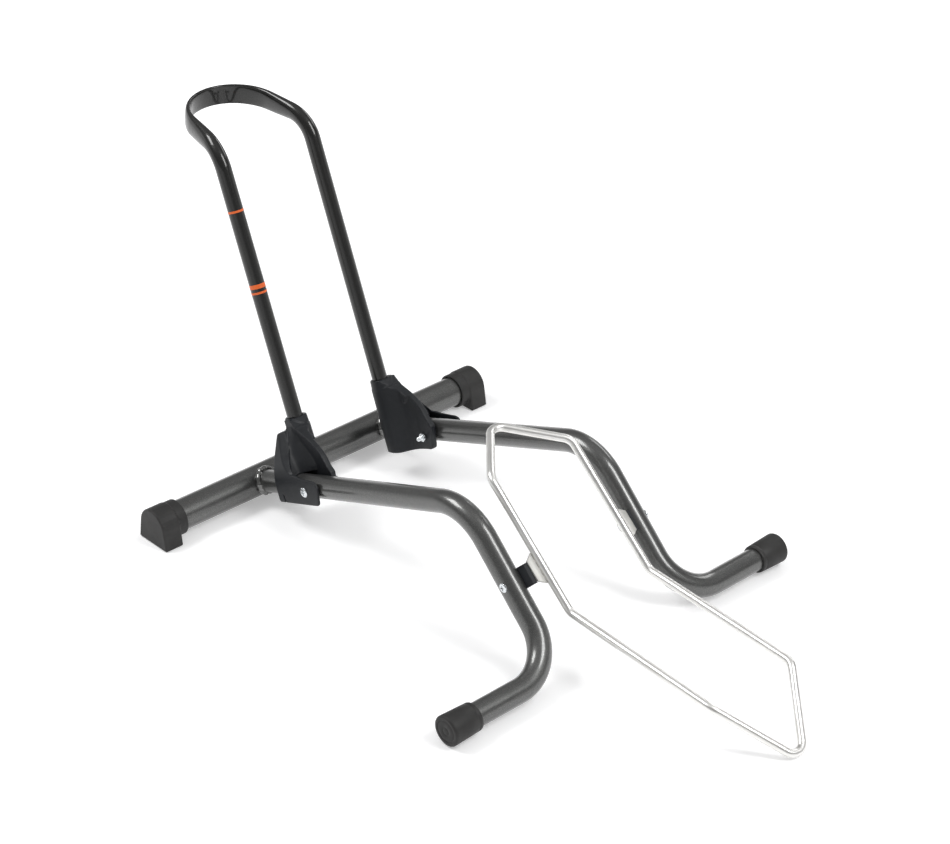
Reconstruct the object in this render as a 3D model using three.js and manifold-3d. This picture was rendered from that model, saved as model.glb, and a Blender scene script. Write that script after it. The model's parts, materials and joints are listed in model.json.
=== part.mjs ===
// Floor bike rack: a welded tube base, a leaning wheel loop that folds down on two
// plastic brackets, and a wire hoop that rocks up around the front of the tyre.
// Millimetres, +X towards the hoop's front end, +Y to the left, +Z up.
// The right side is -Y and the left side is +Y; each pair is made by one function.
import * as THREE from 'three';
import { mergeVertices } from 'three/addons/utils/BufferGeometryUtils.js';
import Module from 'manifold-3d';

const wasm = await Module();
wasm.setup();

// ---------------------------------------------------------------- dimensions
const gap = 0.3;               // between fixed pieces
const runGap = 0.12;           // radial clearance on the pivot screws

const crossbarDia = 38;
const crossbarWall = 2;
const crossbarSpan = 516.6;    // over the end feet

const legDia = 28;
const legWall = 1.6;
const legSpacing = 194.6;      // between the two leg axes
const riseAngle = 20.5;        // legs climb forwards from the crossbar
const riseLength = 403.5;      // crossbar axis to the knee's corner
const dropAngle = 44.8;        // legs descend from the knee
const kneeRadius = 70;
const ankleRadius = 58;        // bend from the drop into the floor bar
const footBarReach = 164.5;     // floor bar, from the leg axis to the cap's end
const weldBead = 2.2;

const endFootWidth = 54.4;     // flat base of the crossbar's end feet
const endFootDepth = 25.5;
const endFootWall = 4;
const endFootCollar = 12.5;    // round collar inboard of the flat-based block
const endFootSole = 4.3;       // rubber under the crossbar

const capWall = 2.9;            // round rubber caps on the floor bars
const capLength = 40;
const capFlare = 1.5;          // the cap widens this much towards its end

const loopDia = 19.2;
const loopWall = 1.5;
const loopLean = 22.06;        // from vertical, leaning back
const loopHeight = 406;        // socket datum to the head's corner, along the tube
const headRise = 5.7;          // the head's arms run back at this angle
const headTaper = 9.3;         // and close in on each other at this one
const headBend = 43;
const headRadius = 58.1;
const strapHeight = 25.5;       // the head is the same tube pressed flat
const strapThick = 5;

const hingeAlong = 118.5;      // bracket screw, along the leg from the crossbar axis
const hingeDrop = 1.5;         // bracket screw below the leg axis
const hingeAhead = 46.7;       // bracket screw ahead of the loop tube
const socketDatum = 4.8;       // socket datum above the bracket screw, along the tube
const socketWall = 4.2;
const socketTop = 73.5;        // above the datum
const socketBottom = 19;       // below the datum
const socketFloor = 5;
const bracketWall = 3.2;       // outer cheek
const bracketInner = 7.5;      // inner cheek, which takes the nut
const bracketNose = 31;        // outer cheek ahead of the screw
const bracketShoulder = 54;    // level of the shoulder's leaning face over the tube
const socketLip = 11;          // sleeve above the body
const bracketClear = 0.5;      // bracket to leg, each side
const bracketChin = 3;         // cheeks hang below the leg
const slitWidth = 1.4;
const foldTravel = 88;         // the loop folds forwards by this angle

const screwDia = 6;
const screwHeadDia = 12;
const screwHeadHeight = 3.4;
const nutFlats = 10;
const nutHeight = 5;
const pivotScrewDia = 5;
const pivotNutFlats = 8;
const pivotNutHeight = 3;

const pivotAlong = 101;        // hoop screw, down the drop from the knee's corner
const pivotRise = 3;           // hoop screw above the drop's axis
const spacerHalf = 12.5;       // half the spacer block's length along the wire
const spacerLength = 5.8;
const spacerHeight = 22;
const tabThick = 2.5;
const tabLength = 44;          // long side, on the wire
const tabTaper = 9.5;          // each end, from the fold to the wire
const tabRadius = 9;

const wireDia = 10;
const wireOffset = 17.6;       // wire to hoop screw, square to the wire
const wireSpacing = 124;       // between the hoop's sides
const wireAngle = 41.7;        // sides' slope past the screw
const wireRear = 112.3;        // foot of that offset to the rear corner
const wireFront = 59.5;        // and to the mid bend
const hoopTailReach = 61;      // rear corner to the rear tip
const hoopTailRise = 12.4;
const hoopNoseReach = 212.8;   // mid bend to the front corner
const hoopNoseFall = 14.1;
const hoopTipReach = 67.7;     // front corner to the front tip
const wireTipBend = 15;
const wireCornerBend = 18;

const sides = 22;              // facets round a tube

// ------------------------------------------------------------ small helpers
const rad = THREE.MathUtils.degToRad;
const V2 = (x, y) => new THREE.Vector2(x, y);
const V3 = (x, y, z) => new THREE.Vector3(x, y, z);
const matrix = (x, y, z, rx = 0, ry = 0, rz = 0) =>
  new THREE.Matrix4().compose(V3(x, y, z),
    new THREE.Quaternion().setFromEuler(new THREE.Euler(rx, ry, rz)), V3(1, 1, 1));

function toSolid(geometry, place) {
  let g = geometry.clone();
  if (place) g.applyMatrix4(place);
  g.deleteAttribute('normal');
  g.deleteAttribute('uv');
  g = mergeVertices(g, 1e-4);
  return new wasm.Manifold(new wasm.Mesh({
    numProp: 3,
    vertProperties: Float32Array.from(g.attributes.position.array),
    triVerts: Uint32Array.from(g.index.array),
  }));
}

function toGeometry(solid) {
  const m = solid.getMesh();
  const g = new THREE.BufferGeometry();
  g.setAttribute('position', new THREE.BufferAttribute(Float32Array.from(m.vertProperties), 3));
  g.setIndex(new THREE.BufferAttribute(Uint32Array.from(m.triVerts), 1));
  g.computeVertexNormals();
  return g;
}

// A path given by its own stations, so straight runs take no extra rings.
class StationPath extends THREE.Curve {
  constructor(stations) {
    super();
    this.stations = stations;
  }
  at(u, key, target) {
    const n = this.stations.length - 1;
    const i = Math.min(Math.floor(u * n + 1e-9), n - 1);
    return target.lerpVectors(this.stations[i][key], this.stations[i + 1][key], u * n - i);
  }
  getPoint(u, target = V3(0, 0, 0)) { return this.at(u, 'p', target); }
  getPointAt(u, target = V3(0, 0, 0)) { return this.at(u, 'p', target); }
  getTangent(u, target = V3(0, 0, 0)) { return this.at(u, 't', target).normalize(); }
  getTangentAt(u, target = V3(0, 0, 0)) { return this.at(u, 't', target).normalize(); }
}

// Corners with bend radii become straights joined by arcs; bends[i] belongs to corners[i].
function bentPath(corners, bends, steps, closed = false) {
  const out = [];
  const n = corners.length;
  const push = (p, t) => {
    if (!out.length || out[out.length - 1].p.distanceTo(p) > 1e-3) out.push({ p, t });
  };
  for (let i = 0; i < n; i++) {
    const b = corners[i];
    if (!closed && (i === 0 || i === n - 1)) {
      const other = corners[i === 0 ? 1 : n - 2];
      const t = i === 0 ? other.clone().sub(b) : b.clone().sub(other);
      push(b.clone(), t.normalize());
      continue;
    }
    const a = corners[(i + n - 1) % n];
    const c = corners[(i + 1) % n];
    const into = b.clone().sub(a).normalize();
    const away = c.clone().sub(b).normalize();
    const turn = into.angleTo(away);
    const run = bends[i] * Math.tan(turn / 2);
    const start = b.clone().addScaledVector(into, -run);
    const side = away.clone().addScaledVector(into, -away.dot(into)).normalize();
    const centre = start.clone().addScaledVector(side, bends[i]);
    const k = Math.max(2, Math.round(steps * turn / (Math.PI / 2)));
    for (let j = 0; j <= k; j++) {
      const q = turn * j / k;
      push(centre.clone().addScaledVector(side, -bends[i] * Math.cos(q))
        .addScaledVector(into, bends[i] * Math.sin(q)),
      into.clone().multiplyScalar(Math.cos(q)).addScaledVector(side, Math.sin(q)));
    }
  }
  return out;
}

// A round bar or tube along a path.
function pipe(stations, radius, bore = 0, facets = sides) {
  const ring = new THREE.Shape().absarc(0, 0, radius, 0, 2 * Math.PI, false);
  if (bore > 0) ring.holes.push(new THREE.Path().absarc(0, 0, bore, 0, 2 * Math.PI, true));
  return new THREE.ExtrudeGeometry(ring, {
    steps: stations.length - 1,
    curveSegments: facets / 2,
    extrudePath: new StationPath(stations),
  });
}

// Rings of points joined into a skin, closed on itself or capped at both ends.
function loft(rings, closed) {
  const m = rings[0].length;
  const pos = rings.flat().flatMap((v) => [v.x, v.y, v.z]);
  const idx = [];
  const last = closed ? rings.length : rings.length - 1;
  for (let i = 0; i < last; i++) {
    for (let j = 0; j < m; j++) {
      const a = i * m + j;
      const b = i * m + (j + 1) % m;
      const c = ((i + 1) % rings.length) * m + j;
      const d = ((i + 1) % rings.length) * m + (j + 1) % m;
      idx.push(a, b, d, a, d, c);
    }
  }
  if (!closed) {
    const top = (rings.length - 1) * m;
    for (let j = 1; j < m - 1; j++) idx.push(0, j + 1, j, top, top + j, top + j + 1);
  }
  const g = new THREE.BufferGeometry();
  g.setAttribute('position', new THREE.Float32BufferAttribute(pos, 3));
  g.setIndex(idx);
  return g;
}

// A plate: a profile of [x, z] points, from y0 to y1.
function plate(profile, y0, y1, bevel = 0) {
  const shape = profile instanceof THREE.Shape ? profile
    : new THREE.Shape(profile.map(([x, z]) => V2(x, z)));
  const g = new THREE.ExtrudeGeometry(shape, {
    depth: y1 - y0 - 2 * bevel, bevelEnabled: bevel > 0, bevelThickness: bevel,
    bevelSize: bevel, bevelOffset: -bevel, bevelSegments: 1, curveSegments: 6,
  });
  return toSolid(g, matrix(0, y1 - bevel, 0, Math.PI / 2));
}

// A rod along Y.
function rod(radius, y0, y1, x = 0, z = 0, facets = 24) {
  return toSolid(new THREE.CylinderGeometry(radius, radius, y1 - y0, facets),
    matrix(x, (y0 + y1) / 2, z));
}

// A profile whose corners are rounded: points are [x, z, radius].
function roundedProfile(points) {
  const shape = new THREE.Shape();
  const n = points.length;
  points.forEach(([x, z, r = 0], i) => {
    const b = V2(x, z);
    const a = V2(points[(i + n - 1) % n][0], points[(i + n - 1) % n][1]);
    const c = V2(points[(i + 1) % n][0], points[(i + 1) % n][1]);
    const into = a.sub(b);
    const away = c.sub(b);
    const run = Math.min(r, into.length() * 0.45, away.length() * 0.45);
    const p = b.clone().addScaledVector(into.normalize(), run);
    const q = b.clone().addScaledVector(away.normalize(), run);
    if (i === 0) shape.moveTo(p.x, p.y); else shape.lineTo(p.x, p.y);
    if (run > 0) shape.quadraticCurveTo(b.x, b.y, q.x, q.y);
  });
  shape.closePath();
  return shape;
}

// ---------------------------------------------------------------- materials
const paint = new THREE.MeshStandardMaterial({ color: 0x3a3b3c, roughness: 0.35, metalness: 0.6 });
const darkPaint = new THREE.MeshStandardMaterial({ color: 0x2a2b2c, roughness: 0.25, metalness: 0.5 });
const plastic = new THREE.MeshStandardMaterial({ color: 0x26282c, roughness: 0.6, metalness: 0.0 });
const rubber = new THREE.MeshStandardMaterial({ color: 0x2b2a29, roughness: 0.8, metalness: 0.0 });
const stainless = new THREE.MeshStandardMaterial({ color: 0xb9babb, roughness: 0.25, metalness: 1.0 });
const zinc = new THREE.MeshStandardMaterial({ color: 0xd0d1d2, roughness: 0.35, metalness: 1.0 });

const rack = new THREE.Group();
const model = new THREE.Group();
rack.add(model);
function addPiece(name, geometry, material, parent = model) {
  const mesh = new THREE.Mesh(geometry, material);
  mesh.name = name;
  parent.add(mesh);
  return mesh;
}
const bothSides = [['right', -1], ['left', 1]];

// ------------------------------------------------------------ the main lines
const crossbarR = crossbarDia / 2;
const legR = legDia / 2;
const loopR = loopDia / 2;
const wireR = wireDia / 2;
const screwR = screwDia / 2;
const pivotScrewR = pivotScrewDia / 2;
const crossbarZ = crossbarR + endFootSole;
const legHalf = legSpacing / 2;
const capR = legR + gap + capWall;
const capEndR = capR + capFlare;

const rise = V3(Math.cos(rad(riseAngle)), 0, Math.sin(rad(riseAngle)));
const drop = V3(Math.cos(rad(dropAngle)), 0, -Math.sin(rad(dropAngle)));
const start = V3(0, 0, crossbarZ);
const knee = start.clone().addScaledVector(rise, riseLength);
const floorBarZ = capEndR;
const ankle = knee.clone().addScaledVector(drop, (knee.z - floorBarZ) / Math.sin(rad(dropAngle)));
const onSide = (v, y) => V3(v.x, y, v.z);

// Bracket screw and the loop's socket datum.
const riseNormal = V3(-rise.z, 0, rise.x);
const hinge = start.clone().addScaledVector(rise, hingeAlong).addScaledVector(riseNormal, -hingeDrop);
const loopUp = V3(-Math.sin(rad(loopLean)), 0, Math.cos(rad(loopLean)));
const loopAhead = V3(loopUp.z, 0, -loopUp.x);
const datum = hinge.clone().addScaledVector(loopAhead, -hingeAhead).addScaledVector(loopUp, socketDatum);
const socketR = loopR + gap + socketWall;
const loopHalf = legHalf - legR - bracketClear * 4 - socketR;

// Hoop screw and the hoop's corners.
const dropNormal = V3(-drop.z, 0, drop.x);
const pivot = knee.clone().addScaledVector(drop, pivotAlong).addScaledVector(dropNormal, pivotRise);
const along = V3(Math.cos(rad(wireAngle)), 0, -Math.sin(rad(wireAngle)));
const above = V3(-along.z, 0, along.x);
const seat = pivot.clone().addScaledVector(above, wireOffset);
const rearCorner = seat.clone().addScaledVector(along, -wireRear);
const midBend = seat.clone().addScaledVector(along, wireFront);
const wireHalf = wireSpacing / 2;
const frontCorner = midBend.clone().add(V3(hoopNoseReach, 0, -hoopNoseFall));
// the sharp corner whose bend brings the wire's tip to a given place
function tipCorner(base, tip) {
  const out = tip.clone().sub(base);
  const reach = out.length();
  let far = reach;
  for (let i = 0; i < 20; i++) far = reach + wireTipBend * (1 / Math.sin(Math.atan(wireHalf / far)) - 1);
  return base.clone().addScaledVector(out, far / reach);
}
const rearTip = tipCorner(rearCorner, rearCorner.clone().add(V3(-hoopTailReach, 0, hoopTailRise)));
const frontTip = tipCorner(frontCorner, V3(frontCorner.x + hoopTipReach, 0, wireR));

// ----------------------------------------------------------------- crossbar
const crossbarHalf = crossbarSpan / 2 - endFootWall - gap;
{
  const path = [-1, 1].map((s) => ({ p: V3(0, s * crossbarHalf, crossbarZ), t: V3(0, 1, 0) }));
  addPiece('crossbar', pipe(path, crossbarR, crossbarR - crossbarWall, 36), paint);
}

// -------------------------------------------------------- feet on the crossbar
// Each foot is a rubber boot: a flat-based, arch-topped block with a round collar inboard.
function endFoot(side) {
  const outer = crossbarSpan / 2;
  const inner = outer - endFootDepth;
  const archR = crossbarR + gap + endFootWall;
  const half = endFootWidth / 2;
  // the block's sides are tangents from its base corners to the arch
  const reach = Math.hypot(half, crossbarZ);
  const touch = Math.atan2(-crossbarZ, half) + Math.acos(Math.min(1, archR / reach));
  const block = new THREE.Shape();
  block.moveTo(-half + 3, 0);
  block.lineTo(half - 3, 0);
  block.quadraticCurveTo(half, 0, half - 0.6, 3);
  block.absarc(0, crossbarZ, archR, touch, Math.PI - touch, false);
  block.lineTo(-half + 0.6, 3);
  block.quadraticCurveTo(-half, 0, -half + 3, 0);
  let solid = plate(block, inner, outer, 1.2);
  solid = solid.add(rod(crossbarR + gap + endFootWall - 1, inner - endFootCollar, inner + 2, 0, crossbarZ, 36));
  solid = solid.subtract(rod(crossbarR + gap, inner - endFootCollar - 5, crossbarHalf + gap, 0, crossbarZ, 36));
  return side > 0 ? solid : solid.mirror([0, 1, 0]);
}
for (const [name, side] of bothSides) addPiece(`end_foot_${name}`, toGeometry(endFoot(side)), rubber);

// --------------------------------------------------------------------- legs
// One bent tube per side: up and forwards from the crossbar, over the knee, down to the
// floor and out sideways as a floor bar. Its coped root carries the weld bead.
function leg(side) {
  const y = side * legHalf;
  const barEnd = side * (legHalf + footBarReach - capWall - gap);
  const course = (back, beyond) => bentPath(
    [onSide(start.clone().addScaledVector(rise, -back), y), onSide(knee, y), onSide(ankle, y),
      V3(ankle.x, barEnd + side * beyond, ankle.z)],
    [0, kneeRadius, ankleRadius, 0], 8);
  const beadEnd = crossbarR + weldBead * 2.2;
  const bead = [[0, 0], [legR + weldBead, 0], [legR + weldBead, beadEnd - weldBead * 1.2],
    [legR + weldBead * 0.7, beadEnd - weldBead * 0.4], [legR * 0.9, beadEnd], [0, beadEnd]]
    .map(([r, h]) => V2(r, h));
  const alongRise = new THREE.Matrix4().makeBasis(V3(0, -1, 0), rise, V3(0, -1, 0).cross(rise))
    .setPosition(onSide(start, y));
  let solid = toSolid(pipe(course(0, 0), legR));
  solid = solid.add(toSolid(new THREE.LatheGeometry(bead, sides), alongRise));
  solid = solid.subtract(toSolid(pipe(course(10, 10), legR - legWall, 0, 18)));
  solid = solid.subtract(rod(crossbarR + gap / 3, y - 60, y + 60, 0, crossbarZ, 48));
  // the far side of the crossbar keeps nothing of the root
  solid = solid.trimByPlane([rise.x, 0, rise.z], start.dot(rise) + 1);
  // cross holes for the bracket screw and the hoop screw
  for (const [hole, r] of [[hinge, screwR], [pivot, pivotScrewR]]) {
    solid = solid.subtract(rod(r + runGap, y - legR - 3, y + legR + 3, hole.x, hole.z, 20));
  }
  return solid;
}
for (const [name, side] of bothSides) addPiece(`leg_${name}`, toGeometry(leg(side)), paint);

// ---------------------------------------------------- caps on the floor bars
for (const [name, side] of bothSides) {
  const end = legHalf + footBarReach;
  const mouth = end - capLength;
  const bore = legR + gap;
  const profile = [
    [0, end], [capEndR - 2.5, end], [capEndR - 0.7, end - 0.7], [capEndR, end - 2.5],
    [capR, mouth + 3], [capR - 0.8, mouth], [bore, mouth], [bore, end - capWall], [0, end - capWall],
  ].map(([r, h]) => V2(r, h));
  const geometry = new THREE.LatheGeometry(profile.reverse(), 36);
  let solid = toSolid(geometry, matrix(ankle.x, 0, ankle.z));
  if (side < 0) solid = solid.mirror([0, 1, 0]);
  addPiece(`floor_cap_${name}`, toGeometry(solid), rubber);
}

// --------------------------------------------------------------- wheel loop
// One tube bent into a U. Above the straight sides it is pressed flat, turns back over
// the tyre and closes in a strap.
const loopGroup = new THREE.Group();
model.add(loopGroup);
{
  const armDir = V3(-Math.cos(rad(headRise)), 0, Math.sin(rad(headRise)));
  const corner = datum.clone().addScaledVector(loopUp, loopHeight);
  const apex = corner.clone().addScaledVector(armDir, loopHalf / Math.tan(rad(headTaper)));
  const foot = datum.clone().addScaledVector(loopUp, -socketBottom + socketFloor + gap);
  const corners = [onSide(foot, -loopHalf), onSide(corner, -loopHalf), onSide(apex, 0),
    onSide(corner, loopHalf), onSide(foot, loopHalf)];
  const stations = bentPath(corners, [0, headBend, headRadius, headBend, 0], 8);
  const strapUp = V3(armDir.z, 0, -armDir.x);
  const arm = onSide(apex, 0).sub(onSide(corner, -loopHalf));
  const steps = 1 + Math.max(2, Math.round(8 * loopUp.angleTo(arm) / (Math.PI / 2)));
  const rings = stations.map(({ p, t }, i) => {
    // the strap stands square to the head's plane; the tube's long axis turns into it
    const turned = Math.min(1, Math.max(0, Math.min(i, stations.length - 1 - i) - 1) / (steps - 1));
    const flat = THREE.MathUtils.smoothstep(turned, 0, 1);
    const wide = loopAhead.clone().lerp(strapUp, turned);
    wide.addScaledVector(t, -wide.dot(t)).normalize();
    const thin = t.clone().cross(wide).normalize();
    const a = THREE.MathUtils.lerp(loopR, strapHeight / 2, flat);
    const b = THREE.MathUtils.lerp(loopR, strapThick / 2, flat);
    const square = THREE.MathUtils.lerp(1, 0.45, flat);
    return Array.from({ length: sides }, (_, j) => {
      const q = 2 * Math.PI * j / sides;
      const c = Math.cos(q);
      const s = Math.sin(q);
      return p.clone().addScaledVector(wide, a * c)
        .addScaledVector(thin, b * Math.sign(s) * Math.abs(s) ** square);
    });
  });
  let solid = toSolid(loft(rings, false));
  for (const side of [-1, 1]) {
    const boreTop = loopHeight - headBend;
    const mid = datum.clone().addScaledVector(loopUp, (boreTop - socketBottom) / 2);
    solid = solid.subtract(toSolid(
      new THREE.CylinderGeometry(loopR - loopWall, loopR - loopWall, boreTop + socketBottom, 16),
      matrix(mid.x, side * loopHalf, mid.z, 0, -rad(loopLean))));
  }
  addPiece('loop_tube', toGeometry(solid), darkPaint, loopGroup);
}

// ----------------------------------------------------------------- brackets
// Each bracket is a saddle over the leg with the loop's socket on its inner side. It is
// drawn in its own frame: X ahead of the loop tube, Z up along it, Y as in the model,
// origin at the socket datum on the leg's axis plane. The leg lies across it at rest and
// along its open front valley when the loop is folded down.
function bracket(side) {
  const screwX = hingeAhead;
  const screwZ = -socketDatum;
  const inner = -legR - bracketClear;             // faces against the leg; outboard is +Y here
  const outer = legR + bracketClear;
  const skin = outer + bracketWall;
  const socketY = loopHalf - legHalf;
  const chin = screwZ - legR - bracketChin;
  const brow = screwZ + legR;                     // level of the leg's top at the screw
  const neck = socketTop - socketLip;             // the body stops short of the socket's mouth
  const nose = screwX + bracketNose;
  const across = (profile, x0, x1) => toSolid(
    new THREE.ExtrudeGeometry(roundedProfile(profile), { depth: x1 - x0, bevelEnabled: false, curveSegments: 5 }),
    new THREE.Matrix4().makeBasis(V3(0, 1, 0), V3(0, 0, 1), V3(1, 0, 0)).setPosition(V3(x0, 0, 0)));
  const upright = (profile, z0, z1) => toSolid(
    new THREE.ExtrudeGeometry(roundedProfile(profile), { depth: z1 - z0, bevelEnabled: false, curveSegments: 5 }),
    matrix(0, 0, z0));

  // outer cheek and shoulder: side view, cut by the view from behind
  const cheek = roundedProfile([
    [-10.5, chin + 2, 4], [nose - 8, chin, 5], [nose, brow - 1, 3], [screwX + 10, brow + 1.5, 14],
    [screwX - 3, brow + 3, 10], [screwX - 17, brow + 6.5, 5], [screwX - 20, brow + 14, 6],
    [screwX - 29, brow + 27, 14], [screwX - 36, brow + 40, 12], [4, neck - 1, 3], [-7, neck - 2, 3],
    [-8, 30, 14], [-10, 4, 10],
  ]);
  const shoulder = [
    [inner - bracketInner, chin - 5], [skin, chin - 5], [skin, brow - 2, 6], [skin - 4, 27, 20],
    [-2, neck - 3, 6], [-7, neck, 3], [inner - bracketInner, neck, 0],
  ];
  const hollow = [
    [inner - 2, chin - 9], [outer, chin - 9], [outer, brow - 3, 6], [outer - 4.4, 25, 18],
    [-6.5, neck - 8, 4], [inner - 2, neck - 8],
  ];
  let solid = plate(cheek, inner - 1, skin).intersect(across(shoulder, -40, 140));
  solid = solid.subtract(across(hollow, 6, 150));
  // the shoulder's front face leans back and inboard, down to the lip over the leg
  const lean = V3(0.725, 1.4, 1);
  solid = solid.subtract(
    plate([[-40, brow + 34], [screwX - 19, brow + 6], [120, brow + 6], [120, 100], [-40, 100]], -40, 40)
      .trimByPlane(lean.clone().normalize().toArray(), bracketShoulder / lean.length()));

  // inner cheek: it sweeps down and forwards from the socket, thick at the socket
  const sweep = roundedProfile([
    [-4, chin + 2, 2], [14, chin + 0.5, 6], [screwX + 10, chin, 5], [screwX + 18.5, brow - 1, 3],
    [screwX + 13, brow + 7, 8], [screwX + 8, brow + 21, 14], [screwX - 5, brow + 38, 14],
    [screwX - 26, brow + 56, 8], [12, neck, 4], [-4, neck, 0],
  ]);
  const plan = [
    [-6, inner], [nose + 20, inner], [nose + 20, inner - bracketInner],
    [36, inner - bracketInner, 6], [24, inner - bracketInner - 4, 6], [12, socketY - socketR + 3, 6],
    [2, socketY - socketR + 0.2], [-6, socketY],
  ];
  solid = solid.add(plate(sweep, socketY - socketR, inner).intersect(upright(plan, chin - 5, socketTop)));

  // socket: a sleeve round the tube, with the stepped body below its mouth
  const sleeve = (r0, r1, z0, z1) => toSolid(new THREE.CylinderGeometry(r1, r0, z1 - z0, 40),
    matrix(1.5, socketY, (z0 + z1) / 2, Math.PI / 2));
  solid = solid.add(sleeve(socketR + 1.2, socketR + 0.6, -socketBottom, neck));
  solid = solid.add(sleeve(socketR, socketR - 0.6, neck - 1, socketTop));
  const boreBottom = -socketBottom + socketFloor;
  solid = solid.subtract(toSolid(
    new THREE.CylinderGeometry(loopR + gap, loopR + gap, socketTop + 5 - boreBottom, 32),
    matrix(0, socketY, (socketTop + 5 + boreBottom) / 2, Math.PI / 2)));

  // room for the leg, the screw hole, and the slit that lets the rear of the cheek spring
  solid = solid.subtract(legRoom(screwX, screwZ));
  solid = solid.subtract(rod(screwR + runGap, inner - bracketInner - 12, skin + 5, screwX, screwZ, 20));
  solid = solid.subtract(plate([[2.5, chin - 4], [2.5 + slitWidth, chin - 4],
    [0.5 + slitWidth, chin + 13], [0.5, chin + 13]], outer - 0.2, skin + 3));
  return side > 0 ? solid : solid.mirror([0, 1, 0]);
}

// The room that the leg takes in a bracket: where it lies with the loop up and with the loop
// folded, and the two opposite quarters that its halves sweep in between.
function legRoom(screwX, screwZ) {
  const r = legR + bracketClear;
  const screwAt = V3(screwX, 0, screwZ);
  const direction = (turn) => {
    const q = rad(riseAngle - loopLean + turn);
    return V3(Math.cos(q), 0, Math.sin(q));
  };
  let room = null;
  for (const turn of [0, foldTravel]) {
    const dir = direction(turn);
    const mid = screwAt.clone().addScaledVector(V3(-dir.z, 0, dir.x), hingeDrop);
    const lie = toSolid(new THREE.CylinderGeometry(r, r, 300, 36),
      new THREE.Matrix4().makeBasis(V3(0, 1, 0), dir, V3(0, 1, 0).cross(dir)).setPosition(mid));
    room = room ? room.add(lie) : lie;
  }
  for (const reach of [150, -150]) {
    const quarter = [V3(0, 0, 0), direction(0), direction(foldTravel / 2).multiplyScalar(1.5), direction(foldTravel)]
      .map((v) => v.multiplyScalar(reach).add(screwAt));
    room = room.add(plate(quarter.map((v) => [v.x, v.z]), -r, r));
  }
  return room;
}

for (const [name, side] of bothSides) {
  const mesh = addPiece(`bracket_${name}`, toGeometry(bracket(side)), plastic, loopGroup);
  mesh.position.set(datum.x, side * legHalf, datum.z);
  mesh.rotation.y = -rad(loopLean);
}

// ------------------------------------------------------------------- screws
// A pan-head screw along Y with its head outside, and the nut on its inner end.
function screw(radius, headAt, tipAt) {
  const r = screwHeadDia / 2;
  const profile = [
    [0, headAt + screwHeadHeight], [r * 0.55, headAt + screwHeadHeight * 0.93],
    [r * 0.88, headAt + screwHeadHeight * 0.6], [r, headAt + screwHeadHeight * 0.15], [r, headAt],
    [radius, headAt], [radius, tipAt + 0.6], [radius - 0.6, tipAt], [0, tipAt],
  ].map(([x, y]) => V2(x, y));
  let solid = toSolid(new THREE.LatheGeometry(profile.reverse(), 20));
  const recess = toSolid(new THREE.BoxGeometry(r * 1.05, 2.4, r * 0.24), matrix(0, headAt + screwHeadHeight, 0));
  const cross = toSolid(new THREE.BoxGeometry(r * 0.24, 2.4, r * 1.05), matrix(0, headAt + screwHeadHeight, 0));
  return solid.subtract(recess.add(cross));
}
function nut(radius, flats, y0, y1) {
  const hex = toSolid(new THREE.CylinderGeometry(flats / Math.sqrt(3), flats / Math.sqrt(3), y1 - y0, 6),
    matrix(0, (y0 + y1) / 2, 0));
  return hex.subtract(rod(radius + 0.05, y0 - 1, y1 + 1, 0, 0, 20));
}
function placeFastener(name, solid, side, at, material) {
  const mesh = addPiece(name, toGeometry(side > 0 ? solid : solid.mirror([0, 1, 0])), material);
  mesh.position.set(at.x, 0, at.z);
}

for (const [name, side] of bothSides) {
  const cheekOut = legHalf + legR + bracketClear + bracketWall + gap;
  const cheekIn = legHalf - legR - bracketClear - bracketInner - gap;
  placeFastener(`bracket_screw_${name}`, screw(screwR, cheekOut, cheekIn - nutHeight - 1.5), side, hinge, zinc);
  placeFastener(`bracket_nut_${name}`, nut(screwR, nutFlats, cheekIn - nutHeight, cheekIn), side, hinge, zinc);
}

// --------------------------------------------------------------------- hoop
// A closed ring of wire, pointed at both ends and cranked in side view.
{
  const w = wireHalf;
  const corners = [onSide(rearTip, 0), onSide(rearCorner, -w), onSide(midBend, -w), onSide(frontCorner, -w),
    onSide(frontTip, 0), onSide(frontCorner, w), onSide(midBend, w), onSide(rearCorner, w)];
  const bends = [wireTipBend, wireCornerBend, wireCornerBend, wireCornerBend,
    wireTipBend, wireCornerBend, wireCornerBend, wireCornerBend];
  const stations = bentPath(corners, bends, 8, true);
  if (stations[0].p.distanceTo(stations[stations.length - 1].p) < 1e-3) stations.pop();
  const facing = V3(Math.sin(rad(wireAngle / 2)), 0, Math.cos(rad(wireAngle / 2)));
  const rings = stations.map(({ p, t }) => {
    const b = facing.clone().addScaledVector(t, -facing.dot(t)).normalize();
    const n = b.clone().cross(t);
    return Array.from({ length: 12 }, (_, j) => {
      const q = 2 * Math.PI * j / 12;
      return p.clone().addScaledVector(n, wireR * Math.cos(q)).addScaledVector(b, wireR * Math.sin(q));
    });
  });
  let solid = toSolid(loft(rings, true));
  addPiece('hoop_wire', toGeometry(solid), stainless);
}

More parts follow.
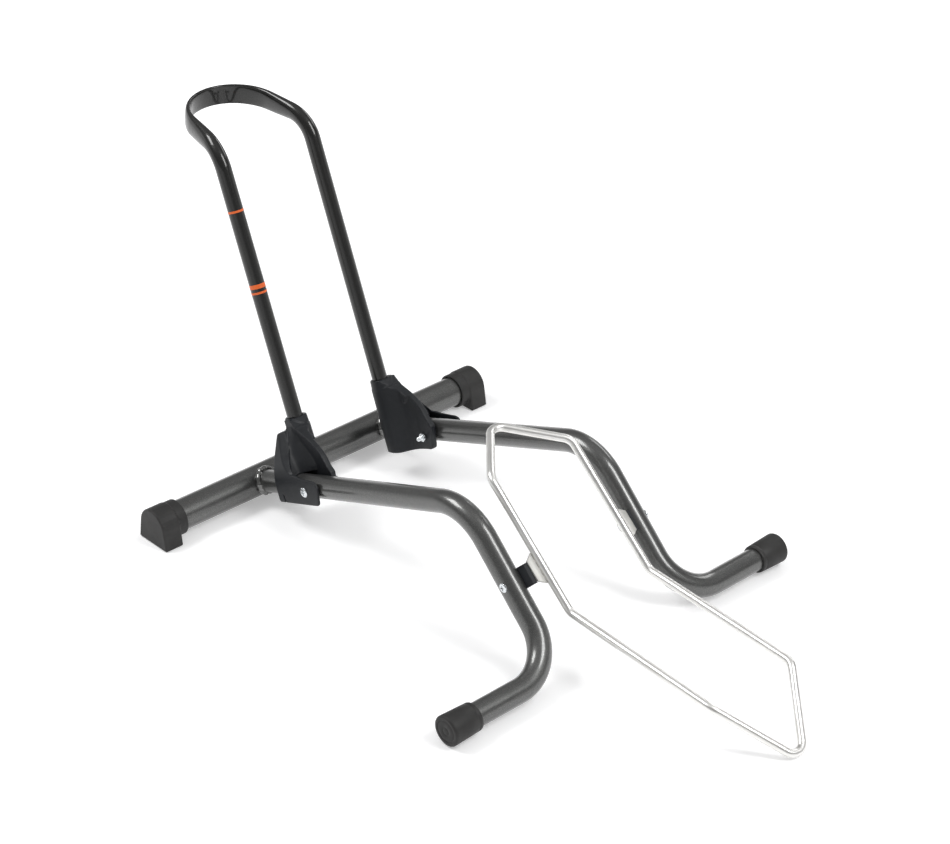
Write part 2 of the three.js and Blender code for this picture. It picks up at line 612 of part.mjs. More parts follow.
// -------------------------------------------------- hoop tabs and their pivots
// Each tab is a folded plate: an ear on the hoop screw and a wing welded on the wire.
const spacerOut = legHalf - legR - gap;
const spacerIn = spacerOut - spacerLength;
const earOut = spacerIn - gap;
const earIn = earOut - tabThick;
function tab(side) {
  // drawn round the screw: X along the wire, Z square to it, Y outwards
  const half = tabLength / 2;
  const short = half - tabTaper;
  const fold = wireOffset - 0.8;
  const ear = new THREE.Shape();
  ear.moveTo(-tabRadius, 0);
  ear.absarc(0, 0, tabRadius, Math.PI, 2 * Math.PI, false);
  ear.lineTo(short, fold);
  ear.lineTo(-short, fold);
  ear.closePath();
  const wing = new THREE.Shape();
  wing.moveTo(-short, earOut);
  wing.lineTo(short, earOut);
  wing.lineTo(half, wireHalf);
  wing.lineTo(-half, wireHalf);
  wing.closePath();
  const solid = plate(ear, earIn, earOut)
    .add(toSolid(new THREE.ExtrudeGeometry(wing, { depth: tabThick, bevelEnabled: false }),
      matrix(0, 0, fold - tabThick)))
    .subtract(rod(pivotScrewR + runGap, earIn - 4, earOut + 4, 0, 0, 20));
  return side > 0 ? solid : solid.mirror([0, 1, 0]);
}

// A plastic block between each leg and its tab, shaped to the leg.
function spacer() {
  const block = roundedProfile([[-1, -1], [1, -1], [1, 1], [-1, 1]]
    .map(([s, n]) => [s * spacerHalf, n * spacerHeight / 2 - pivotRise, 4]));
  return plate(block, spacerIn, legHalf)
    .subtract(toSolid(new THREE.CylinderGeometry(legR + gap, legR + gap, 80, 36),
      matrix(0, legHalf, -pivotRise, 0, 0, Math.PI / 2)))
    .rotate([0, dropAngle, 0])
    .subtract(rod(pivotScrewR + runGap, spacerIn - 1, legHalf + 1, 0, 0, 20));
}
for (const [name, side] of bothSides) {
  const seatGroup = new THREE.Group();
  seatGroup.position.copy(pivot);
  seatGroup.rotation.y = rad(wireAngle);
  model.add(seatGroup);
  // the wing is scooped to sit round the wire
  const wireLine = rod(wireR + gap / 3, -200, 200, 0, 0, 24);
  const scoop = wireLine.rotate([0, 0, 90]).translate([0, side * wireHalf, wireOffset]);
  addPiece(`hoop_tab_${name}`, toGeometry(tab(side).subtract(scoop)), stainless, seatGroup);

  placeFastener(`pivot_spacer_${name}`, spacer(), side, pivot, plastic);
  const nutIn = earIn - gap - pivotNutHeight;
  placeFastener(`pivot_screw_${name}`, screw(pivotScrewR, legHalf + legR + gap, nutIn - 0.6), side, pivot, zinc);
  placeFastener(`pivot_nut_${name}`, nut(pivotScrewR, pivotNutFlats, nutIn, nutIn + pivotNutHeight), side, pivot, zinc);
}

// The origin is on the floor under the middle of the whole rack.
model.updateMatrixWorld(true);
const box = new THREE.Box3().setFromObject(model, true);
model.position.x = -(box.min.x + box.max.x) / 2;

export default rack;
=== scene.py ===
# %% [markdown]
# # A floor bike rack
# The rack is a welded tube base, a leaning wheel loop that folds down on two moulded
# brackets, and a bright wire hoop that rocks round the front of the tyre. The CAD solids
# come in first as a fixed frame. Every piece made below starts from the same sizes as
# those solids and takes the place of one of them, or sits on one.

# %% Load the CAD frame
import json
import math

import bmesh
import bpy
from mathutils import Matrix, Vector


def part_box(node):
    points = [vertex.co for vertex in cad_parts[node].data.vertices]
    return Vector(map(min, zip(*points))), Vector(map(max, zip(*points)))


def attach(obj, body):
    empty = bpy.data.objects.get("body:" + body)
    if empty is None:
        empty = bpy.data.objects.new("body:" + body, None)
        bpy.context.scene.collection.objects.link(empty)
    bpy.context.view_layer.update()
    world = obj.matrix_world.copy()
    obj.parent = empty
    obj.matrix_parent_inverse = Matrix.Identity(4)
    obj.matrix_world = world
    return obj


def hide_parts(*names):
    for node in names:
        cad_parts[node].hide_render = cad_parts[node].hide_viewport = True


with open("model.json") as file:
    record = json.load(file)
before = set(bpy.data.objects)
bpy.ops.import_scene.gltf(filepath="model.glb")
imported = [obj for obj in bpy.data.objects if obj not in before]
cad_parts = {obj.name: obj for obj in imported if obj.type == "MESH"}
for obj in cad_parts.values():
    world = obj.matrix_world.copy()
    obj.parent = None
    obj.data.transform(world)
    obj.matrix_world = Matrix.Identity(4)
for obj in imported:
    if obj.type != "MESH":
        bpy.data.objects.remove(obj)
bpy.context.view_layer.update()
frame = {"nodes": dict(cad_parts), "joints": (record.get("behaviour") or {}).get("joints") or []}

# %% [markdown]
# ## The rack's own sizes
# The frame is drawn in metres with its origin under the middle of the whole rack. It is
# easier to think in millimetres from the crossbar, so the sizes below are kept that way
# and moved only when a mesh is made. The frame says where the fold joint is, and the
# difference between that place and the fold screw's own place here is the shift.

# %% Sizes in millimetres, and the step into the frame
MM = 0.001
CROSSBAR_R, CROSSBAR_Z, CROSSBAR_END = 19.0, 23.3, 254.0
LEG_R, LEG_Y, RISE_LENGTH = 14.0, 97.3, 403.5
RISE_ANGLE, DROP_ANGLE = math.radians(20.5), math.radians(44.8)
KNEE_RADIUS, ANKLE_RADIUS, FLOOR_BAR_Z, FLOOR_BAR_REACH = 70.0, 58.0, 18.7, 164.5
LOOP_R, LOOP_Y, LOOP_LEAN, LOOP_HEIGHT = 9.6, 67.2, math.radians(22.06), 406.0
# along the leg to the fold screw and below its axis, then from that screw to the loop's tube
HINGE_ALONG, HINGE_DROP, HINGE_AHEAD, HINGE_BELOW_DATUM = 118.5, 1.5, 46.7, 4.8
# down the drop to the hoop's screw, and above its axis
PIVOT_ALONG, PIVOT_RISE = 101.0, 3.0
# the solid's wire has a radius of 5 mm, but its facets stop a little short of that
WIRE_R, WIRE_Y, WIRE_ANGLE, WIRE_OFFSET = 4.94, 62.0, math.radians(41.7), 17.6
SIDES = (("right", -1), ("left", 1))

rise = Vector((math.cos(RISE_ANGLE), 0, math.sin(RISE_ANGLE)))
rise_normal = Vector((-rise.z, 0, rise.x))
drop = Vector((math.cos(DROP_ANGLE), 0, -math.sin(DROP_ANGLE)))
drop_normal = Vector((-drop.z, 0, drop.x))
root = Vector((0, 0, CROSSBAR_Z))
knee = root + rise * RISE_LENGTH
ankle = knee + drop * ((knee.z - FLOOR_BAR_Z) / math.sin(DROP_ANGLE))
fold_screw = root + rise * HINGE_ALONG - rise_normal * HINGE_DROP
hoop_screw = knee + drop * PIVOT_ALONG + drop_normal * PIVOT_RISE

joint_at = {j["name"]: Vector(j["pos_m"]) for j in frame["joints"]}
shift = joint_at["loop_fold"] - fold_screw * MM


def at(x, y, z):
    """A point in millimetres from the crossbar, as a place in the frame."""
    return Vector((x, y, z)) * MM + shift


print("shift from crossbar to frame:", [round(c, 4) for c in shift])
print("hoop screw is off by", round((joint_at["hoop_rock"] - at(*hoop_screw)).length / MM, 2), "mm")


def side_by_side(v, y):
    """The same point of a side view, at another place across the rack."""
    return Vector((v.x, y, v.z))


# %% [markdown]
# ## The camera
# The product picture was taken with a long lens from the front right, looking down by
# about thirty degrees. A long lens keeps far tubes nearly as thick as near ones, so the
# focal length matters as much as the direction.

# %% Camera
AZIMUTH, ELEVATION, ROLL = math.radians(47.506), math.radians(30.587), math.radians(-0.065)
LENS_MM, SENSOR_MM = 96.93, 36
LOOK_AT, DISTANCE = at(569.9, -260.3, 417.9), 2.471

back = Vector((math.sin(AZIMUTH) * math.cos(ELEVATION),
               -math.cos(AZIMUTH) * math.cos(ELEVATION), math.sin(ELEVATION)))
level = Vector((math.cos(AZIMUTH), math.sin(AZIMUTH), 0))
right = level * math.cos(ROLL) + back.cross(level) * math.sin(ROLL)
up = back.cross(right)
camera_data = bpy.data.cameras.new("camera")
camera_data.sensor_width, camera_data.lens = SENSOR_MM, LENS_MM
camera_data.clip_start, camera_data.clip_end = 0.05, 50
camera = bpy.data.objects.new("camera", camera_data)
turn_to = Matrix((right, up, back)).transposed().to_4x4()
camera.matrix_world = Matrix.Translation(LOOK_AT + back * DISTANCE) @ turn_to
bpy.context.scene.collection.objects.link(camera)
bpy.context.scene.camera = camera
print("camera at", [round(c, 3) for c in camera.matrix_world.translation])

# %% [markdown]
# ## Studio
# The rack stands on white paper. Paint and bare metal show what they mirror, so the
# lamps are soft panels. The front one draws a crisp line down the sloping tubes, the back
# one puts a glint on each knee, and the far one keeps the shadows faint. The room is
# bright low down and overhead and dim between, which gives round tubes dark flanks. The
# room could be a picture of a studio, but a ramp from the floor up says the same thing in
# five greys.

# %% Lamps and room light
bpy.context.scene.view_settings.view_transform = "Standard"


def panel(name, place, aim, size, power):
    """A soft rectangular lamp, in metres and watts."""
    lamp = bpy.data.lights.new(name, "AREA")
    lamp.shape, lamp.size, lamp.size_y, lamp.energy = "RECTANGLE", size[0], size[1], power
    obj = bpy.data.objects.new(name, lamp)
    obj.location = place
    obj.rotation_euler = (Vector(aim) - Vector(place)).to_track_quat("-Z", "Y").to_euler()
    bpy.context.scene.collection.objects.link(obj)


panel("panel_front", (1.75, 0.60, 2.15), (0, 0, 0.1), (0.75, 1.5), 34)
panel("panel_back", (-1.25, -1.05, 2.10), (0, 0, 0.1), (1.1, 0.9), 30)
panel("panel_far", (-0.4, 2.3, 1.5), (0, 0, 0.15), (1.6, 0.5), 10)

world = bpy.data.worlds.new("room")
bpy.context.scene.world = world
world.use_nodes = True
sky = world.node_tree
direction = sky.nodes.new("ShaderNodeTexCoord")
height = sky.nodes.new("ShaderNodeSeparateXYZ")
walls = sky.nodes.new("ShaderNodeValToRGB")
# how far up a direction points, from level or below (0) to straight up (1), and its grey
ROOM = ((0.0, 0.95), (0.10, 0.80), (0.20, 0.24), (0.62, 0.30), (1.0, 0.62))
while len(walls.color_ramp.elements) < len(ROOM):
    walls.color_ramp.elements.new(0.5)
for stop, (level_at, grey) in zip(walls.color_ramp.elements, ROOM):
    stop.position, stop.color = level_at, (grey, grey, grey, 1)
sky.links.new(direction.outputs["Generated"], height.inputs["Vector"])
sky.links.new(height.outputs["Z"], walls.inputs["Fac"])
sky.links.new(walls.outputs["Color"], sky.nodes["Background"].inputs["Color"])
sky.nodes["Background"].inputs["Strength"].default_value = 1.0

# %% Helpers for shader nodes
def maths(tree, operation, *terms):
    """The output of a Math node; each term is a number or another node's output."""
    node = tree.nodes.new("ShaderNodeMath")
    node.operation = operation
    for socket, term in zip(node.inputs, terms):
        if isinstance(term, float):
            socket.default_value = term
        else:
            tree.links.new(term, socket)
    return node.outputs[0]


def spread(tree, source, low, high, to_low=0.0, to_high=1.0):
    """The source's range from low to high, stretched over another range."""
    node = tree.nodes.new("ShaderNodeMapRange")
    limits = zip(("From Min", "From Max", "To Min", "To Max"), (low, high, to_low, to_high))
    for socket, value in limits:
        node.inputs[socket].default_value = value
    tree.links.new(source, node.inputs["Value"])
    return node.outputs["Result"]


# %% [markdown]
# The floor is one sheet of white paper. It is plain diffuse, so that it takes the rack's
# shadows, with a little light of its own that only the camera and mirrored or refracted
# rays see. A lamp strong enough to burn the paper white would burn the paint as well.
# Far from the rack no lamp reaches, and there the sheet turns plain white to the camera.

# %% Floor
FLOOR_HALF, FLOOR_DROP = 9.0, 0.0004
PAPER_LIFT, FAR_LIFT, FAR_FROM, FAR_TO = 0.32, 0.75, 0.8, 2.4
corners = [(x * FLOOR_HALF, y * FLOOR_HALF, 0) for x, y in ((-1, -1), (1, -1), (1, 1), (-1, 1))]
floor_mesh = bpy.data.meshes.new("floor")
floor_mesh.from_pydata(corners, [], [(0, 1, 2, 3)])
floor = bpy.data.objects.new("floor", floor_mesh)
floor.location.z = -FLOOR_DROP
bpy.context.scene.collection.objects.link(floor)

paper = bpy.data.materials.new("white_paper")
paper.use_nodes = True
sheet = paper.node_tree
sheet.nodes.clear()
diffuse = sheet.nodes.new("ShaderNodeBsdfDiffuse")
diffuse.inputs["Color"].default_value = (0.86, 0.86, 0.865, 1)
ray = sheet.nodes.new("ShaderNodeLightPath").outputs
seen = maths(sheet, "MAXIMUM", ray["Is Camera Ray"], ray["Is Glossy Ray"])
seen = maths(sheet, "MAXIMUM", seen, ray["Is Transmission Ray"])
place = sheet.nodes.new("ShaderNodeTexCoord")
distance = sheet.nodes.new("ShaderNodeVectorMath")
distance.operation = "LENGTH"
sheet.links.new(place.outputs["Object"], distance.inputs[0])
far_off = spread(sheet, distance.outputs["Value"], FAR_FROM, FAR_TO, 0.0, FAR_LIFT)
lift = maths(sheet, "MULTIPLY", seen, PAPER_LIFT)
strength = maths(sheet, "MULTIPLY_ADD", far_off, ray["Is Camera Ray"], lift)
glow = sheet.nodes.new("ShaderNodeEmission")
glow.inputs["Color"].default_value = (1, 1, 1, 1)
sheet.links.new(strength, glow.inputs["Strength"])
both = sheet.nodes.new("ShaderNodeAddShader")
sheet.links.new(diffuse.outputs[0], both.inputs[0])
sheet.links.new(glow.outputs[0], both.inputs[1])
sheet.links.new(both.outputs[0], sheet.nodes.new("ShaderNodeOutputMaterial").inputs["Surface"])
floor_mesh.materials.append(paper)
print("floor:", FLOOR_HALF * 2, "m square")

# %% [markdown]
# ## Effects that several finishes share
# Real paint, plastic and drawn steel are never one flat value. Three small node groups
# hold what they have in common: metal flakes under clear paint, the fine grain of a
# mould, and the long scratches that a wire gets as it is pulled through a die. A group
# only gives out colours and values, and the shader stays in each material.


# %% Helpers for node groups
def new_group(name, **inputs):
    """An empty group that gives out Color, Roughness and Height, with these inputs."""
    tree = bpy.data.node_groups.new(name, "ShaderNodeTree")
    for label, value in inputs.items():
        kind = "NodeSocketFloat" if isinstance(value, float) else "NodeSocketColor"
        socket = tree.interface.new_socket(name=label, in_out="INPUT", socket_type=kind)
        socket.default_value = value
    for label, kind in (("Color", "Color"), ("Roughness", "Float"), ("Height", "Float")):
        tree.interface.new_socket(name=label, in_out="OUTPUT", socket_type="NodeSocket" + kind)
    return tree, tree.nodes.new("NodeGroupInput").outputs, tree.nodes.new("NodeGroupOutput").inputs


def noise(tree, scale, detail=3.0, roughness=0.5):
    node = tree.nodes.new("ShaderNodeTexNoise")
    node.inputs["Scale"].default_value = scale
    node.inputs["Detail"].default_value = detail
    node.inputs["Roughness"].default_value = roughness
    return node


def blended(tree, factor, first, second):
    node = tree.nodes.new("ShaderNodeMix")
    node.data_type = "RGBA"
    for source, socket in ((factor, "Factor"), (first, "A"), (second, "B")):
        tree.links.new(source, node.inputs[socket])
    return node.outputs["Result"]


def hand_out(tree, leave, color, roughness, wander, height):
    """Links the group's three outputs; the roughness is shifted a little by wander."""
    tree.links.new(color, leave["Color"])
    tree.links.new(maths(tree, "ADD", roughness, wander), leave["Roughness"])
    tree.links.new(height, leave["Height"])
    print("group:", tree.name)


# %% Flakes under clear paint
flakes, enter, leave = new_group(
    "metal_flakes", Dark=(0.05, 0.05, 0.05, 1), Bright=(0.2, 0.2, 0.2, 1), Roughness=0.3)
coords = flakes.nodes.new("ShaderNodeTexCoord").outputs
chips = flakes.nodes.new("ShaderNodeTexVoronoi")
chips.inputs["Scale"].default_value = 2600
orange_peel, cloud = noise(flakes, 260, 2.0), noise(flakes, 14)
for texture in (chips, orange_peel, cloud):
    flakes.links.new(coords["Object"], texture.inputs["Vector"])
chip_value = flakes.nodes.new("ShaderNodeSeparateColor")
flakes.links.new(chips.outputs["Color"], chip_value.inputs["Color"])
shine = spread(flakes, chip_value.outputs["Red"], 0.55, 1.0)
hand_out(flakes, leave, blended(flakes, shine, enter["Dark"], enter["Bright"]), enter["Roughness"],
         spread(flakes, cloud.outputs["Fac"], 0.3, 0.7, -0.03, 0.05), orange_peel.outputs["Fac"])

# %% Grain of a mould
grain, enter, leave = new_group(
    "mould_grain", Color=(0.03, 0.03, 0.03, 1), Worn=(0.06, 0.06, 0.06, 1), Roughness=0.5,
    Scale=900.0)
coords = grain.nodes.new("ShaderNodeTexCoord").outputs
pores, cloud = noise(grain, 900, 4.0, 0.6), noise(grain, 30, 4.0, 0.6)
grain.links.new(enter["Scale"], pores.inputs["Scale"])
for texture in (pores, cloud):
    grain.links.new(coords["Object"], texture.inputs["Vector"])
wear = spread(grain, cloud.outputs["Fac"], 0.45, 0.75, 0.0, 0.6)
hand_out(grain, leave, blended(grain, wear, enter["Color"], enter["Worn"]), enter["Roughness"],
         spread(grain, cloud.outputs["Fac"], 0.3, 0.7, 0.05, -0.06), pores.outputs["Fac"])

# %% Die lines on drawn metal
drawn, enter, leave = new_group(
    "drawn_lines", Color=(0.6, 0.6, 0.6, 1), Dull=(0.45, 0.44, 0.42, 1), Roughness=0.25,
    Across=60.0, Along=6.0)
coords = drawn.nodes.new("ShaderNodeTexCoord").outputs
split = drawn.nodes.new("ShaderNodeSeparateXYZ")
stretch = drawn.nodes.new("ShaderNodeCombineXYZ")
drawn.links.new(coords["UV"], split.inputs["Vector"])
for axis, label in (("X", "Across"), ("Y", "Along")):
    longer = maths(drawn, "MULTIPLY", split.outputs[axis], enter[label])
    drawn.links.new(longer, stretch.inputs[axis])
lines, patches = noise(drawn, 1.0, 4.0, 0.65), noise(drawn, 18)
drawn.links.new(stretch.outputs["Vector"], lines.inputs["Vector"])
drawn.links.new(coords["Object"], patches.inputs["Vector"])
haze = spread(drawn, patches.outputs["Fac"], 0.4, 0.7, 0.0, 0.7)
hand_out(drawn, leave, blended(drawn, haze, enter["Color"], enter["Dull"]), enter["Roughness"],
         spread(drawn, lines.outputs["Fac"], 0.3, 0.7, -0.07, 0.09), lines.outputs["Fac"])

# %% [markdown]
# ## Finishes
# Each finish is one Principled shader. The group gives it the colour, gloss and fine
# relief that change over the surface. What is the same everywhere, such as how
# metallic it is, is set straight on the shader. Both paints have the flakes under a clear
# coat, the frame's grey and the loop's nearly black. Plastic, rubber and the printed
# bands share the mould's grain and differ in gloss. Wire, plate and zinc share the
# drawn lines, long on the wire and short on the fasteners. Flakes, grain and haze are
# measured in metres from the frame's origin, so they have the same size on every piece.


# %% Materials
def finish(name, group, values, relief, **settings):
    """A material: a shared group, a bump of that relief in metres, and plain settings."""
    material = bpy.data.materials.new(name)
    material.use_nodes = True
    tree = material.node_tree
    shader = tree.nodes["Principled BSDF"]
    for label, value in settings.items():
        shader.inputs[label.replace("_", " ")].default_value = value
    effect = tree.nodes.new("ShaderNodeGroup")
    effect.node_tree = group
    for label, value in values.items():
        effect.inputs[label].default_value = value
    bump = tree.nodes.new("ShaderNodeBump")
    bump.inputs["Distance"].default_value = relief
    tree.links.new(effect.outputs["Color"], shader.inputs["Base Color"])
    tree.links.new(effect.outputs["Roughness"], shader.inputs["Roughness"])
    tree.links.new(effect.outputs["Height"], bump.inputs["Height"])
    tree.links.new(bump.outputs["Normal"], shader.inputs["Normal"])
    return material


frame_paint = finish(
    "anthracite_paint", flakes,
    {"Dark": (0.088, 0.089, 0.087, 1), "Bright": (0.165, 0.165, 0.16, 1), "Roughness": 0.33},
    0.00001, Metallic=0.75, Coat_Weight=0.7, Coat_Roughness=0.07)
# the weld's paint is the frame's paint made a lighter grey, a painted highlight for its glints; its
# lower roughness and fuller coat are real gloss
weld_paint_painted_highlight = finish(
    "paint_over_weld_painted_highlight", flakes,
    {"Dark": (0.13, 0.13, 0.127, 1), "Bright": (0.2, 0.2, 0.195, 1), "Roughness": 0.16},
    0.00001, Metallic=0.85, Coat_Weight=1.0, Coat_Roughness=0.03)
loop_paint = finish(
    "black_gloss_paint", flakes,
    {"Dark": (0.011, 0.011, 0.0105, 1), "Bright": (0.026, 0.026, 0.0245, 1), "Roughness": 0.3},
    0.00001, Metallic=0.6, Coat_Weight=0.7, Coat_Roughness=0.06)
bracket_plastic = finish(
    "black_plastic", grain,
    {"Color": (0.010, 0.0115, 0.014, 1), "Worn": (0.016, 0.018, 0.022, 1), "Roughness": 0.46,
     "Scale": 1600.0},
    0.00006, Specular_IOR_Level=0.36)
rubber = finish(
    "dark_rubber", grain,
    {"Color": (0.019, 0.0185, 0.018, 1), "Worn": (0.032, 0.031, 0.030, 1), "Roughness": 0.56,
     "Scale": 700.0},
    0.00009, Specular_IOR_Level=0.4)
steel_wire = finish(
    "stainless_wire", drawn,
    {"Color": (0.86, 0.855, 0.835, 1), "Dull": (0.76, 0.75, 0.725, 1), "Roughness": 0.34,
     "Across": 9.0, "Along": 25.0},
    0.00002, Metallic=1.0)
steel_plate = finish(
    "stainless_plate", drawn,
    {"Color": (0.59, 0.585, 0.56, 1), "Dull": (0.46, 0.455, 0.435, 1), "Roughness": 0.58,
     "Across": 300.0, "Along": 300.0},
    0.00003, Metallic=0.9)
zinc = finish(
    "bright_zinc", drawn,
    {"Color": (0.74, 0.77, 0.79, 1), "Dull": (0.62, 0.64, 0.66, 1), "Roughness": 0.22,
     "Across": 200.0, "Along": 200.0},
    0.00002, Metallic=1.0)
orange = finish(
    "orange_film", grain,
    {"Color": (0.80, 0.13, 0.018, 1), "Worn": (0.74, 0.15, 0.03, 1), "Roughness": 0.4,
     "Scale": 900.0},
    0.00002, Specular_IOR_Level=0.5)
print("materials, with the floor's:", len([m for m in bpy.data.materials if m.use_nodes]))

# %% [markdown]
# ## Bent tubes
# A tube bender leaves straight runs joined by true arcs, so a path is a list of sharp
# corners with a bend radius each. Rings of points are set square to that path and joined
# into a skin. Curve objects could do this too, but rings also let the section change
# along the way, which the flattened head of the wheel loop needs.


# %% Paths with true bends
def bent_path(corners, bends, degrees_per_step=3.0, closed=False):
    """Stations (place, direction) along straights and arcs; bends[i] is at corners[i]."""
    stations = []
    count = len(corners)
    for i, corner in enumerate(corners):
        if not closed and i in (0, count - 1):
            direction = corners[1] - corner if i == 0 else corner - corners[count - 2]
            stations.append((corner.copy(), direction.normalized()))
            continue
        into = (corner - corners[i - 1]).normalized()
        away = (corners[(i + 1) % count] - corner).normalized()
        turn = into.angle(away)
        begin = corner - into * (bends[i] * math.tan(turn / 2))
        side = (away - into * away.dot(into)).normalized()
        centre = begin + side * bends[i]
        steps = max(3, round(math.degrees(turn) / degrees_per_step))
        for k in range(steps + 1):
            q = turn * k / steps
            c, n = math.cos(q), math.sin(q)
            place = centre - side * (bends[i] * c) + into * (bends[i] * n)
            stations.append((place, into * c + side * n))
    return stations


def divided(stations, longest, closed=False):
    """The same path with no straight longer than that, so that textures stay even."""
    out = []
    pairs = list(zip(stations, stations[1:] + ([stations[0]] if closed else [])))
    for (p, t), (q, u) in pairs:
        parts = max(1, math.ceil((q - p).length / longest))
        out += [(p.lerp(q, k / parts), t.lerp(u, k / parts).normalized()) for k in range(parts)]
    return out if closed else out + [stations[-1]]


# %% Skins over rings of points
SHARP_EDGE = math.radians(40)
TURN = 2 * math.pi


def round_steps(count):
    """Angles evenly round a circle."""
    return [TURN * j / count for j in range(count)]


def face_outwards(mesh):
    work = bmesh.new()
    work.from_mesh(mesh)
    bmesh.ops.recalc_face_normals(work, faces=work.faces)
    work.to_mesh(mesh)
    work.free()


def skin(name, rings, lengths, closed=False):
    """A mesh over rings of points in millimetres, with u round it and v along it."""
    count = len(rings[0])
    verts = [at(*p) for ring in rings for p in ring]
    faces, uvs = [], []
    for i in range(len(rings) if closed else len(rings) - 1):
        for j in range(count):
            k, n = (i + 1) % len(rings), (j + 1) % count
            faces.append((i * count + j, i * count + n, k * count + n, k * count + j))
            near, far = lengths[i] * MM, lengths[i + 1] * MM
            u0, u1 = j / count, (j + 1) / count
            uvs += [(u0, near), (u1, near), (u1, far), (u0, far)]
    if not closed:
        top = (len(rings) - 1) * count
        faces.append(tuple(reversed(range(count))))
        faces.append(tuple(range(top, top + count)))
        uvs += [(j / count, 0.0) for j in range(count)] * 2
    mesh = bpy.data.meshes.new(name)
    mesh.from_pydata(verts, [], faces)
    layer = mesh.uv_layers.new(name="along")
    for loop, uv in zip(layer.data, uvs):
        loop.uv = uv
    face_outwards(mesh)
    mesh.shade_smooth()
    mesh.set_sharp_from_angle(angle=SHARP_EDGE)
    obj = bpy.data.objects.new(name, mesh)
    bpy.context.scene.collection.objects.link(obj)
    return obj


def running_length(stations, closed=False):
    """How far along the path each station is."""
    total, out = 0.0, [0.0]
    ends = stations[1:] + ([stations[0]] if closed else [])
    for (p, _), (q, _) in zip(stations, ends):
        total += (q - p).length
        out.append(total)
    return out


def round_rings(stations, radius, facets, start=Vector((0, 1, 0))):
    """Rings square to the path, carried along it without twist. radius may be a function."""
    rings, normal = [], start
    for i, (place, direction) in enumerate(stations):
        normal = (normal - direction * normal.dot(direction)).normalized()
        other = direction.cross(normal)
        r = radius(i) if callable(radius) else radius
        rings.append([place + normal * (r * math.cos(q)) + other * (r * math.sin(q))
                      for q in round_steps(facets)])
    return rings


def dress(obj, body, slot, material, *replaced):
    """Gives a new piece its finish and body, and hides the solid that it stands for."""
    obj.data.materials.clear()
    obj.data.materials.append(material)
    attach(obj, body)
    if replaced:
        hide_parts(*replaced)
    print(obj.name, len(obj.data.vertices), "points")


# %% [markdown]
# ## Crossbar and legs
# The base is two sizes of steel tube in anthracite metallic paint. Each leg climbs from
# the crossbar, turns over the knee, comes down and ends in a bar on the floor. The
# tubes' cut ends are hidden in rubber or in the crossbar, so plain skins are enough.

# %% Crossbar
LONGEST_STEP = 20.0
FORWARD, ACROSS = Vector((1, 0, 0)), Vector((0, 1, 0))
ends = [(Vector((0, y, CROSSBAR_Z)), ACROSS) for y in (-CROSSBAR_END, CROSSBAR_END)]
bar = divided(ends, LONGEST_STEP)
dress(skin("painted_crossbar", round_rings(bar, CROSSBAR_R, 96, FORWARD), running_length(bar)),
      "base", "frame_paint", frame_paint, "crossbar")

# %% Legs
LEG_STARTS, INSIDE_CAP = 13.0, 3.2
for side_name, s in SIDES:
    y = s * LEG_Y
    bar_end = s * (LEG_Y + FLOOR_BAR_REACH - INSIDE_CAP)
    corners = [side_by_side(root + rise * LEG_STARTS, y), side_by_side(knee, y),
               side_by_side(ankle, y), side_by_side(ankle, bar_end)]
    course = divided(bent_path(corners, [0, KNEE_RADIUS, ANKLE_RADIUS, 0], 2.5), LONGEST_STEP)
    dress(skin(f"painted_leg_{side_name}", round_rings(course, LEG_R, 64), running_length(course)),
          "base", "frame_paint", frame_paint, f"leg_{side_name}")

# %% [markdown]
# A welder's bead runs round each leg where it meets the crossbar. It follows the curve
# where two round tubes cross, and it swells and thins with every touch of the torch.
# Paint pools on it, so it is glossier than the tubes and catches small bright glints. Its grey is
# also painted lighter than the tubes', a painted highlight.
# Noise could make the lumps, but a sum of sines is the same on each run.

# %% Weld beads
SEAM_STEPS, TOUCHES = 180, 15
BEAD_R, BEAD_SWELL, BEAD_WANDER, BEAD_AHEAD, BEAD_SUNK = 4.4, 0.5, 0.35, 2.4, 0.7


def bead_radius(i):
    touch = abs(math.sin(i * math.pi * TOUCHES / SEAM_STEPS))
    return BEAD_R + BEAD_SWELL * touch + BEAD_WANDER * math.sin(i * 0.37)


for side_name, s in SIDES:
    seam = []
    for q in round_steps(SEAM_STEPS):
        out_by = math.sqrt(CROSSBAR_R ** 2 - (LEG_R * math.sin(q)) ** 2) + BEAD_AHEAD
        outwards = ACROSS * math.cos(q) + rise_normal * math.sin(q)
        seam.append(side_by_side(root + rise * out_by, s * LEG_Y) + outwards * (LEG_R - BEAD_SUNK))
    seam = [(p, (seam[(k + 1) % SEAM_STEPS] - seam[k - 1]).normalized())
            for k, p in enumerate(seam)]
    bead = round_rings(seam, bead_radius, 18, rise)
    dress(skin(f"weld_bead_{side_name}", bead, running_length(seam, True), True),
          "base", "frame_paint", weld_paint_painted_highlight)

# %% [markdown]
# ## The wheel loop
# One tube makes both uprights and the head. Where it turns back over the tyre, it has
# been pressed flat: the round section passes smoothly into a tall thin strap. Each ring
# is a superellipse whose two half-widths and squareness follow that change. A pressed tube
# keeps its girth, so it is a little wider halfway than a straight change would make it.

# %% Wheel loop
HEAD_RISE, HEAD_TAPER = math.radians(5.7), math.radians(9.3)
HEAD_BEND, HEAD_RADIUS, TUBE_IN_SOCKET = 43.0, 58.1, 13.7
STRAP_HEIGHT, STRAP_THICK, STRAP_SQUARE = 25.3, 5.0, 0.55
# the run over which the tube goes flat, how much sooner it has turned, and its extra width
FLATTENING, TURNS_FIRST, GIRTH_SWELL = 140.0, 1.25, 1.3

